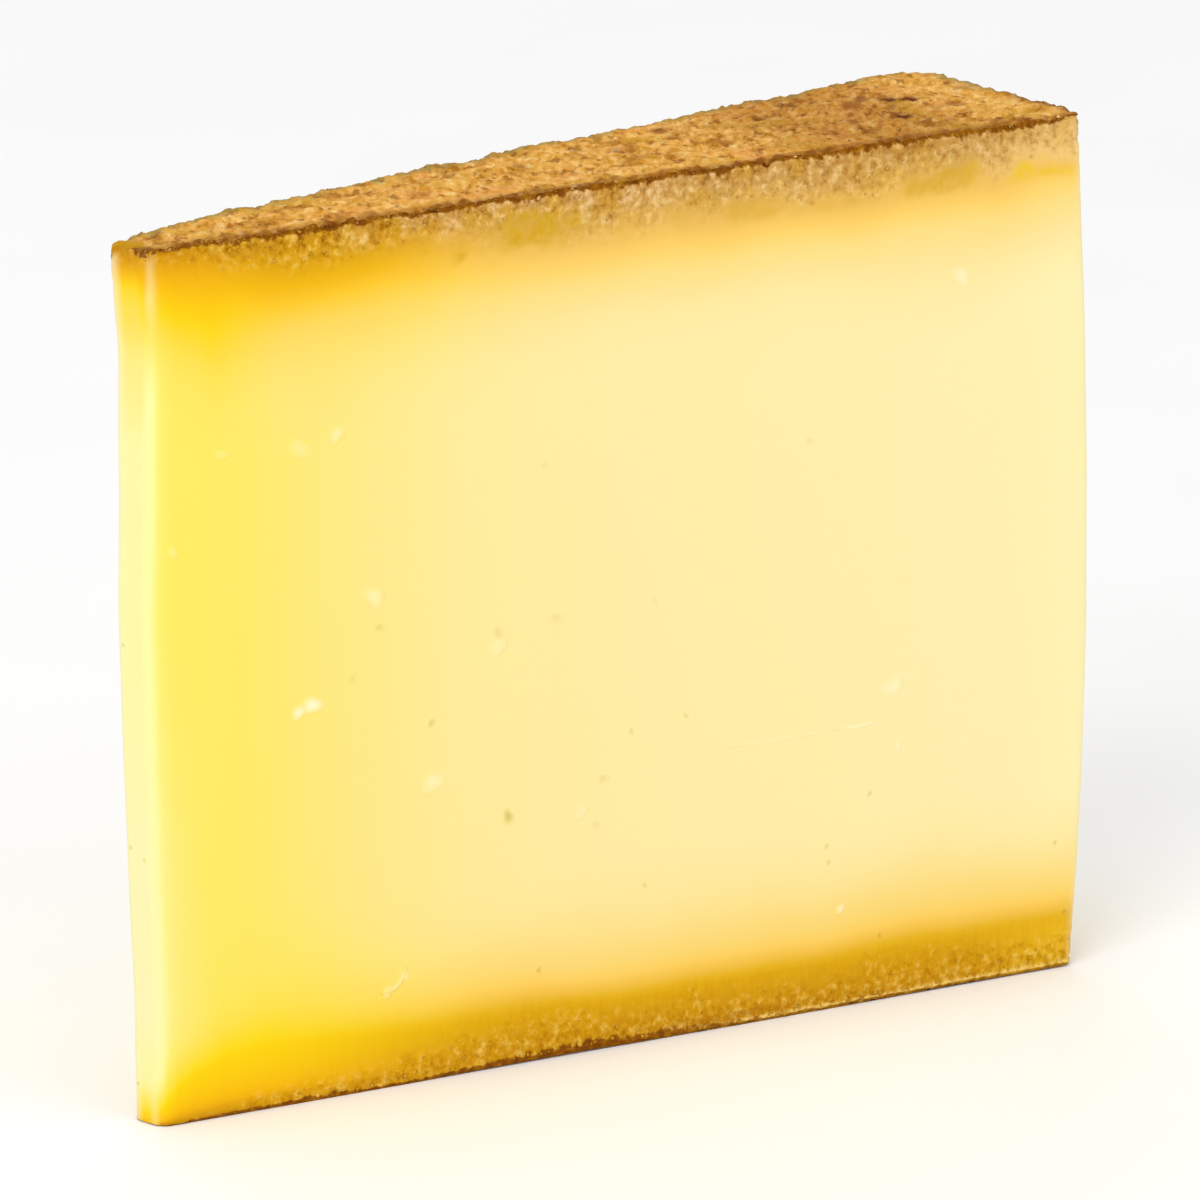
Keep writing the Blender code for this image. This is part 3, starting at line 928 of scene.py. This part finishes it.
# Paste colours as they show, 0 to 255
pasteLook = {
    # noises: size in millimetres, detail, roughness
    "grain": (0.95, 2, 0.62),
    "grainStretch": (1, 1, 0.93),
    "ragged": (1.9, 2, 0.5),
    "drift": (4, 2, 0.5),
    "streaks": (0.6, 1, 0.5),
    "cloudy": (1.7, 2, 0.6),
    "crumbShade": (0.5, 1, 0.5),
    "gloss": 0.1,
    "smooth": 0.42,  # roughness of the plain paste, of the seams and of their crumbs
    "crumbly": 0.75,
    "crumbs": 0.62,
    "crumbGloss": 0.12,
    # millimetres from the nose
    # deeper yellow towards the thin nose: partly the paste's own colour, partly painted light shining
    # through it
    # the stops at 0.25 and 121 mm paint highlights on the nose's front edge and the broad end's edge
    "along": [(0, 251, 246, 166), (0.25, 254, 247, 168), (0.7, 254, 243, 140), (1.5, 254, 237, 114),
              (3, 254, 234, 100), (12, 254, 232, 106), (28, 254, 232, 140), (40, 254, 234, 157),
              (60, 254, 235, 167), (112, 254, 239, 177), (121, 255, 242, 181)],
    # shares of the amber's depth under each rind, by the nose, towards the broad end, and round its end
    # by the nose the amber is more saturated: partly its own colour, partly painted light shining through
    # the thin nose
    "topNose": [(0, 196, 132, 24), (0.3, 227, 165, 23), (0.46, 239, 178, 8), (0.86, 253, 201, 4),
                (1.02, 253, 208, 12), (1.2, 252, 215, 36), (1.42, 253, 218, 62), (1.7, 253, 223, 82),
                (2.2, 254, 228, 98)],
    "topMiddle": [(0, 150, 98, 16), (0.14, 186, 126, 24), (0.34, 212, 154, 20), (0.74, 240, 183, 8),
                  (0.99, 253, 201, 52), (1.35, 252, 216, 98), (1.85, 253, 225, 118),
                  (2.4, 254, 229, 130)],
    "topBroad": [(0, 185, 130, 50), (0.15, 202, 150, 74), (0.36, 210, 163, 80), (0.8, 237, 189, 92),
                 (1.08, 251, 206, 101), (1.24, 254, 214, 114), (1.46, 252, 222, 132),
                 (1.85, 254, 226, 148), (2.4, 254, 232, 160)],
    "footNose": [(0, 190, 132, 24), (0.24, 243, 183, 12), (0.36, 250, 194, 5), (0.55, 252, 204, 4),
                 (0.92, 254, 215, 18), (1.05, 253, 221, 36), (1.45, 254, 227, 79), (2, 254, 232, 95)],
    "footBroad": [(0, 180, 120, 20), (0.18, 199, 140, 26), (0.4, 210, 153, 26), (0.8, 225, 171, 22),
                  (0.93, 234, 184, 40), (1.08, 246, 198, 78), (1.24, 254, 211, 100),
                  (1.46, 253, 219, 120), (2.4, 254, 230, 150)],
    # from the dark grains to the light ones, in the seams and in the line under the rind
    "topGrain": [(0, 126, 78, 20), (0.18, 166, 114, 46), (0.38, 195, 146, 76), (0.64, 214, 167, 98),
                 (0.86, 238, 198, 140), (1.25, 254, 232, 194)],
    "footGrain": [(0, 140, 84, 4), (0.16, 176, 116, 8), (0.38, 204, 146, 16), (0.64, 220, 166, 30),
                  (0.86, 240, 194, 72), (1.25, 254, 222, 130)],
    "line": [(0, 101, 52, 0), (0.42, 135, 79, 0), (0.6, 165, 106, 6), (1, 194, 137, 36)],
    "topEnd": ((251, 211, 134), 0.65),
    "footEnd": ((246, 198, 36), 0.55),
    "topReach": (13, 54),  # from the nose, where its colours give way to those of the broad end
    "footReach": (10, 50),
    "darkGrain": (172, 108, 4),
    "lightGrain": (255, 214, 108),
    "streak": (176, 112, 20),
    "clear": (212, 164, 6),
    "clearEnd": (242, 198, 54),
    # painted highlight colour of the upright edges, also laid on the paler low nose
    "corner": (255, 244, 192),
    # painted highlight where the foot's lip catches the light
    "ledgeHighlight": (250, 214, 116),
    "shade": (168, 100, 10),
    "pale": (255, 250, 208),
    "dark": (0.72, 0.7, 0.42, 1),  # shares of the paste's colour that are left
    "crumbDark": (146, 94, 14),
}


# Colour of the smooth paste, before its grains
def pasteColour(n):
    look = pasteLook
    fromNose = n.field("fromNose")
    # deeper yellow near the thin nose is partly painted light through it; its ends hold painted edge
    # highlights
    colour = n.ramp(fromNose, look["along"])
    toEnd = n.band(fromNose, 104, 121)
    for rind in ("top", "foot"):
        share = n.field(rind + "Share")
        toBroad = n.band(fromNose, *look[rind + "Reach"])
        layer = n.mix(toBroad, n.ramp(share, look[rind + "Nose"]), n.ramp(share, look[rind + "Broad"]))
        if rind == "top":
            golden = n.times(n.band(fromNose, 7, 18), n.band(fromNose, 44, 26, 0, 0.9))
            layer = n.mix(golden, layer, n.ramp(share, look["topMiddle"]))
        end, reach = look[rind + "End"]
        layer = n.mix(n.times(toEnd, n.band(share, 1, 0.7, 0, reach)), layer, end)
        colour = n.mix(n.band(share, 1.4, 3.2, 1, 0), colour, layer)
    # fine upright streaks in the lower amber, which came last in the loop
    streaks = n.noise(look["streaks"], n.stretch((1, 1, 0.12)))
    streaked = n.times(n.band(share, 1.05, 0.8), n.band(share, 0.3, 0.6))
    streaked = n.times(streaked, n.band(streaks, 0.42, 0.66, 0, 0.08))
    colour = n.mix(n.times(streaked, toBroad), colour, look["streak"])
    clear = n.times(n.field("clear"), n.band(n.noise(look["cloudy"]), 0.32, 0.62, 0.45, 0.95))
    gold = n.mix(n.band(fromNose, 104, 113), look["clear"], look["clearEnd"])
    colour = n.mix(clear, colour, gold)
    # painted highlights along the upright edges, and the paler low nose
    return n.mix(n.times(n.field("corner"), 0.6), colour, look["corner"])


# Grains shade the paste a little everywhere; in the seams they are tan at the top and golden at the foot
def grainColour(n, paste, tint):
    fromNose, topSeam = n.field("fromNose"), n.field("topSeam")
    seam = n.maths("MAXIMUM", topSeam, n.field("footSeam"))
    reach = n.band(seam, -2, 1.2, 0.06, 0.5)
    paste = n.mix(n.times(reach, n.band(tint, 0.5, 0)), paste, pasteLook["darkGrain"])
    paste = n.mix(n.times(reach, n.band(tint, 0.55, 1)), paste, pasteLook["lightGrain"])
    drift = n.noise(pasteLook["drift"])
    tint = n.plus(tint, n.band(topSeam, 4.5, 0.5, 0, 0.16))
    tint = n.plus(tint, n.swing(drift, 0.8))
    atTop = n.band(topSeam, -12, -9)
    tan = n.times(atTop, n.band(fromNose, 18, 42, 0.15, 1))
    tan = n.times(tan, n.band(drift, 0.36, 0.52, 0.45, 1))
    grain = n.mix(tan, n.ramp(tint, pasteLook["footGrain"]), n.ramp(tint, pasteLook["topGrain"]))
    middle, end = n.band(atTop, 0, 1, 0.7, 1), n.band(atTop, 0, 1, 0.5, 0.58)
    towardsBroad = n.band(fromNose, 56, 112, middle, end)
    strength = n.times(n.band(seam, -0.8, 4.6, 0.12, 0.76), towardsBroad)
    return n.mix(strength, paste, grain)


def pasteGrain(n):
    return n.noise(pasteLook["grain"], n.stretch(pasteLook["grainStretch"]))


def makePaste():
    n = Nodes("comtePaste")
    look = pasteLook
    colour, grain = pasteColour(n), pasteGrain(n)
    footSeam = n.field("footSeam")
    seam = n.maths("MAXIMUM", n.field("topSeam"), footSeam)
    present = n.band(n.plus(seam, n.swing(n.noise(look["ragged"]), 6)), -2.2, 2)
    colour = n.mix(present, colour, grainColour(n, colour, n.band(grain, 0.14, 0.86)))
    colour = n.mix(n.times(n.field("shade"), 0.4), colour, look["shade"])
    # painted highlight along the foot's lip, broken up by the grain
    ledgeHighlight = n.times(n.field("ledgeHighlight"), n.band(grain, 0.35, 0.6, 0.3, 1))
    colour = n.mix(ledgeHighlight, colour, look["ledgeHighlight"])
    # the dark line under each rind, fainter at the foot towards the broad end
    line = n.plus(n.field("line"), n.swing(grain, 1.6))
    faint = n.times(n.band(footSeam, -3, 0), n.band(n.field("fromNose"), 62, 88, 0, 0.42))
    dark = n.times(n.band(line, 0.75, 1.25, 1, 0), n.maths("SUBTRACT", 1, faint))
    colour = n.mix(dark, colour, n.ramp(grain, look["line"]))
    normal = n.bump(n.times(n.maths("SUBTRACT", grain, 0.5), present), 0.4, 0.65)
    roughness = n.band(present, 0, 1, look["smooth"], look["crumbly"])
    return n.surface(colour, roughness, look["gloss"], normal)


def makeCrumb():
    n = Nodes("comteCrumb")
    look = pasteLook
    tint = n.plus(n.times(n.field("tint"), 0.45), n.band(pasteGrain(n), 0.14, 0.86, 0, 0.55))
    colour = grainColour(n, pasteColour(n), tint)
    shade = n.noise(look["crumbShade"])
    colour = n.mix(n.band(shade, 0.35, 0.65, 0.16, 0), colour, look["crumbDark"])
    return n.surface(colour, look["crumbs"], look["crumbGloss"], n.bump(shade, 0.04, 0.8))


def makeMarkPaste():
    n = Nodes("comteMark")
    # pale crystals and scores, and a painted highlight on the curled flake
    colour = n.mix(n.field("pale"), pasteColour(n), pasteLook["pale"])
    colour = n.mix(n.field("dark"), colour, pasteLook["dark"], "MULTIPLY")
    return n.surface(colour, pasteLook["smooth"], pasteLook["gloss"])


# Rind colours as they show, 0 to 255
rindLook = {
    # noises: how they are stretched and by how many degrees turned, then size, detail and roughness of each
    "wiped": ((1, 0.55, 1), 35),
    "patches": (7, 2, 0.5),
    "blots": (3.4, 3, 0.65),
    "spots": (1.6, 2, 0.6),
    "grit": (1.15, 3, 0.62),
    "sand": [(0, 126, 70, 6), (0.3, 156, 94, 14), (0.42, 206, 142, 46), (0.52, 228, 166, 74),
             (0.62, 242, 184, 94), (0.74, 252, 210, 130), (1, 255, 230, 168)],
    "sandShift": 0.068,
    # tints over the sand: the noise that each follows, from where to where, its share at both, its colour
    "tints": [("patches", (0.56, 0.68, 0, 0.35), (236, 160, 92)),
              ("patches", (0.34, 0.46, 0.45, 0), (206, 160, 48)),
              ("blots", (0.5, 0.68, 0, 0.75), (164, 102, 24)),
              ("spots", (0.56, 0.68, 0, 0.7), (146, 83, 8))],
    "deep": (0.76, 0.68, 0.56, 1),  # shares of the colour that are left towards the broad end
    "pit": (110, 54, 0),
    "worn": (160, 120, 50),
    "broken": (208, 152, 22),
    "line": (136, 78, 0),
    "fringe": (158, 136, 74),
    "roughness": 0.85,
    "gloss": 0.1,
}


def makeRind():
    n = Nodes("comteRind")
    look = rindLook
    wiped = n.stretch(*look["wiped"])
    noises = {name: n.noise(look[name], wiped) for name in ("blots", "spots", "grit")}
    noises["patches"] = n.noise(look["patches"])
    blots, spots, grit = noises["blots"], noises["spots"], noises["grit"]
    colour = n.ramp(n.plus(grit, look["sandShift"]), look["sand"])
    for follows, reach, tint in look["tints"]:
        colour = n.mix(n.band(noises[follows], *reach), colour, tint)
    fromNose, across = n.field("fromNose"), n.field("across")
    deep = n.times(n.band(fromNose, 78, 94), n.band(fromNose, 106, 116, 1, 0))
    colour = n.mix(deep, colour, look["deep"], "MULTIPLY")
    crag = n.plus(n.field("crag"), n.swing(blots, 0.3))
    pit = n.maths("MAXIMUM", n.band(crag, -0.62, -0.20, 0.75, 0), n.field("pit"))
    colour = n.mix(pit, colour, look["pit"])
    worn = n.plus(fromNose, n.times(blots, 4))
    colour = n.mix(n.band(worn, 3, 5, 0.6, 0), colour, look["worn"])
    # the rim is dark at the front and an olive fringe at the back, and broken down to paste at the nose
    rim = n.plus(n.field("line"), n.swing(grit, 2.4))
    rim = n.times(n.band(rim, -2.1, -0.2, 0, 0.9), n.band(spots, 0.62, 0.38, 1, 0.55))
    colour = n.mix(rim, colour, n.mix(n.band(across, 0.45, 0.55), look["line"], look["fringe"]))
    broken = n.times(n.band(across, 0.3, 0.5), n.band(worn, 4.6, 3.8, 0, 0.9))
    colour = n.mix(broken, colour, look["broken"])
    normal = n.bump(n.plus(grit, n.times(spots, -0.6)), 0.6, 0.9)
    return n.surface(colour, look["roughness"], look["gloss"], normal)


def makeFloor():
    bpy.ops.mesh.primitive_plane_add(size=12)
    floor = bpy.context.object
    floor.name = "studioFloor"
    n = Nodes("paleFloor")
    darker, lighter = [(studio["floor"] * share,) * 3 + (1,) for share in (0.98, 1.02)]
    pale = n.mix(n.noise((60, 1, 0.5)), darker, lighter)
    floor.data.materials.append(n.surface(pale, 0.9, 0.1))


# Soft boxes round the wedge: azimuth and elevation in degrees, distance and side in metres, watts
softBoxes = {
    "key": {"azimuth": -60, "elevation": 40, "distance": 1.3, "side": 0.7, "watts": 6},
    "fill": {"azimuth": 22, "elevation": 24, "distance": 1.5, "side": 1.1, "watts": 3},
    "back": {"azimuth": 160, "elevation": 40, "distance": 1.6, "side": 1, "watts": 2.5},
}


def aimed(azimuth, elevation):
    a, e = math.radians(azimuth), math.radians(elevation)
    return Vector((math.sin(a) * math.cos(e), -math.cos(a) * math.cos(e), math.sin(e)))


def makeLights():
    middle = (cadLow + cadHigh) / 2
    for name, box in softBoxes.items():
        light = bpy.data.lights.new(name, "AREA")
        light.size = box["side"]
        light.energy = box["watts"]
        lamp = bpy.data.objects.new(name, light)
        away = aimed(box["azimuth"], box["elevation"])
        lamp.location = middle + away * box["distance"]
        lamp.rotation_euler = (-away).to_track_quat("-Z", "Y").to_euler()
        bpy.context.scene.collection.objects.link(lamp)
    world = bpy.data.worlds.new("studio")
    world.use_nodes = True
    sky = world.node_tree.nodes["Background"]
    sky.inputs["Color"].default_value = (1.0, 1.0, 1.0, 1.0)
    sky.inputs["Strength"].default_value = studio["sky"]
    bpy.context.scene.world = world
    bpy.context.scene.view_settings.view_transform = "Standard"


# The photograph's view, in degrees and millimetres
view = {
    "azimuth": -35.1,
    "elevation": 15.1,
    "distance": 900,
    "target": (-0.9, 0.1, 52.5),
    "slideRight": 2,
    "slideUp": 0.1,
    "roll": -0.38,
    "lens": 228.7,
}


def makeCamera():
    camera = bpy.data.objects.new("photoCamera", bpy.data.cameras.new("photoCamera"))
    camera.data.sensor_width = 36.0
    camera.data.lens = view["lens"]
    camera.data.clip_end = 50.0
    back = aimed(view["azimuth"], view["elevation"])
    turn = (-back).to_track_quat("-Z", "Y").to_matrix()
    slide = turn @ Vector((view["slideRight"], view["slideUp"], 0.0))
    camera.location = (Vector(view["target"]) + slide + back * view["distance"]) * mm
    camera.rotation_euler = (turn @ Matrix.Rotation(math.radians(view["roll"]), 3, "Z")).to_euler()
    bpy.context.scene.collection.objects.link(camera)
    bpy.context.scene.camera = camera


makeCamera()
makeLights()
makeFloor()
paste, crumb, rind = makePaste(), makeCrumb(), makeRind()
piece, bands, topFace, centring = makeSkin([paste, rind])
makeCrumbs(seamCrumbs, bands, crumb)
makeCrumbs(seamMeal, bands, crumb)
makeRindGrit(bands, topFace, centring, rind)
makeMarks(piece, centring, makeMarkPaste())
